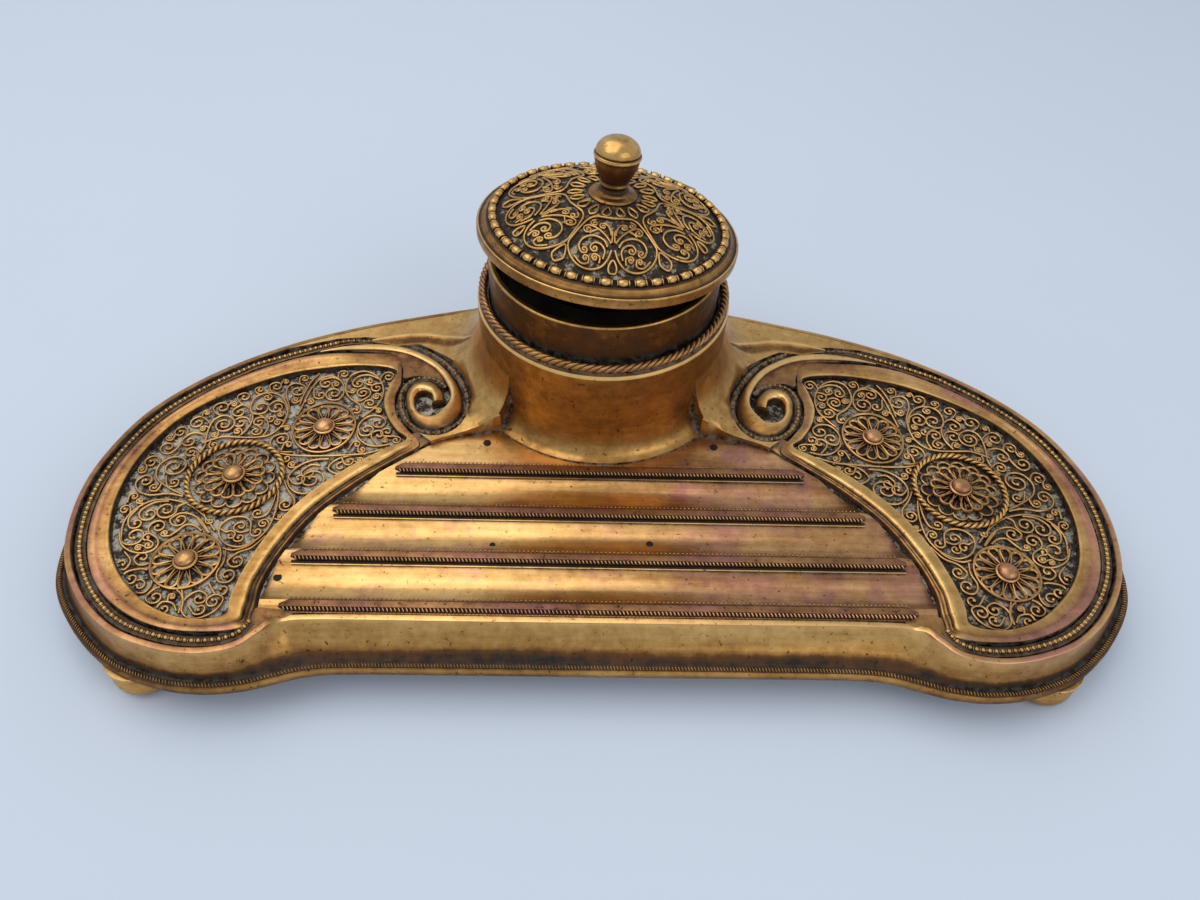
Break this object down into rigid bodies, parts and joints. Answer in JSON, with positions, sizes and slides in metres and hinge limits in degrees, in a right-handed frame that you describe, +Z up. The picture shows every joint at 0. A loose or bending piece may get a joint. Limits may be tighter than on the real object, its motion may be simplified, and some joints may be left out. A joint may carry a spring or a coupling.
{
  "type": "desk inkstand",
  "caption": "Brass desk inkstand with a channelled pen tray, two filigree wings ending in volutes, and a round ink well whose hinged-lid insert lifts out.",
  "frame": {"origin": "on the desk under the middle of the stand, at the centre of the bottom of its box", "axes": "+X to the right along the pen channels, +Y to the back towards the ink well, +Z up"},
  "size_m": [0.264, 0.134, 0.0884],
  "materials": {
    "stand_brass": "aged, satin",
    "rail_copper": "aged, satin",
    "tray_brass": "aged, satin",
    "gilt_brass": "aged, satin",
    "panel_ground": "dull, with grey residue",
    "filigree_brass": "aged, satin",
    "beading_brass": "aged, satin",
    "well_brass": "aged, satin",
    "sleeve_brass": "aged, satin",
    "lid_brass": "aged, satin",
    "knob_brass": "aged, satin",
    "pot_glass": "clear, stained dark with ink",
    "fastener_brass": "aged, satin"
  },
  "bodies": {
    "stand": {"base_plate": "stand_brass", "base_milling": "beading_brass", "wall_band": "stand_brass", "deck_plate": "stand_brass", "shoulder_saddle": "well_brass", "pen_tray": "tray_brass", "pen_rail_1": "rail_copper", "pen_rail_2": "rail_copper", "pen_rail_3": "rail_copper", "pen_rail_4": "rail_copper", "tray_pins": "fastener_brass", "wing_frame_left": "gilt_brass", "wing_frame_right": "gilt_brass", "wing_beading_left": "beading_brass", "wing_beading_right": "beading_brass", "wing_panel_left": "panel_ground", "wing_panel_right": "panel_ground", "volute_left": "gilt_brass", "volute_right": "gilt_brass", "filigree_left": "filigree_brass", "filigree_right": "filigree_brass", "rosette_front_left": "filigree_brass", "rosette_front_right": "filigree_brass", "rosette_middle_left": "filigree_brass", "rosette_middle_right": "filigree_brass", "rosette_back_left": "filigree_brass", "rosette_back_right": "filigree_brass", "twist_ring_left": "filigree_brass", "twist_ring_right": "filigree_brass", "well_drum": "well_brass", "well_flare": "well_brass", "well_twist_ring": "beading_brass", "foot_front_left": "stand_brass", "foot_front_right": "stand_brass", "foot_back_left": "stand_brass", "foot_back_right": "stand_brass", "foot_screws": "fastener_brass"},
    "insert": {"sleeve": "sleeve_brass", "sleeve_hinge": "sleeve_brass", "hinge_pin": "fastener_brass", "ink_pot": "pot_glass"},
    "lid": {"lid_hinge": "sleeve_brass", "lid_rim": "lid_brass", "lid_liner": "lid_brass", "lid_dome": "lid_brass", "lid_filigree": "filigree_brass", "lid_beading": "beading_brass", "knob": "knob_brass", "knob_nut": "fastener_brass"}
  },
  "joints": [
    {"name": "insert_lift", "type": "slide", "parent": "stand", "child": "insert", "axis": [0, 0, 1], "range_m": [0, 0.045]},
    {"name": "lid_hinge", "type": "hinge", "parent": "insert", "child": "lid", "pos_m": [0.0205, 0.05774, 0.0562], "axis": [-0.788, 0.6157, 0], "range_deg": [-6.9, 95]}
  ]
}
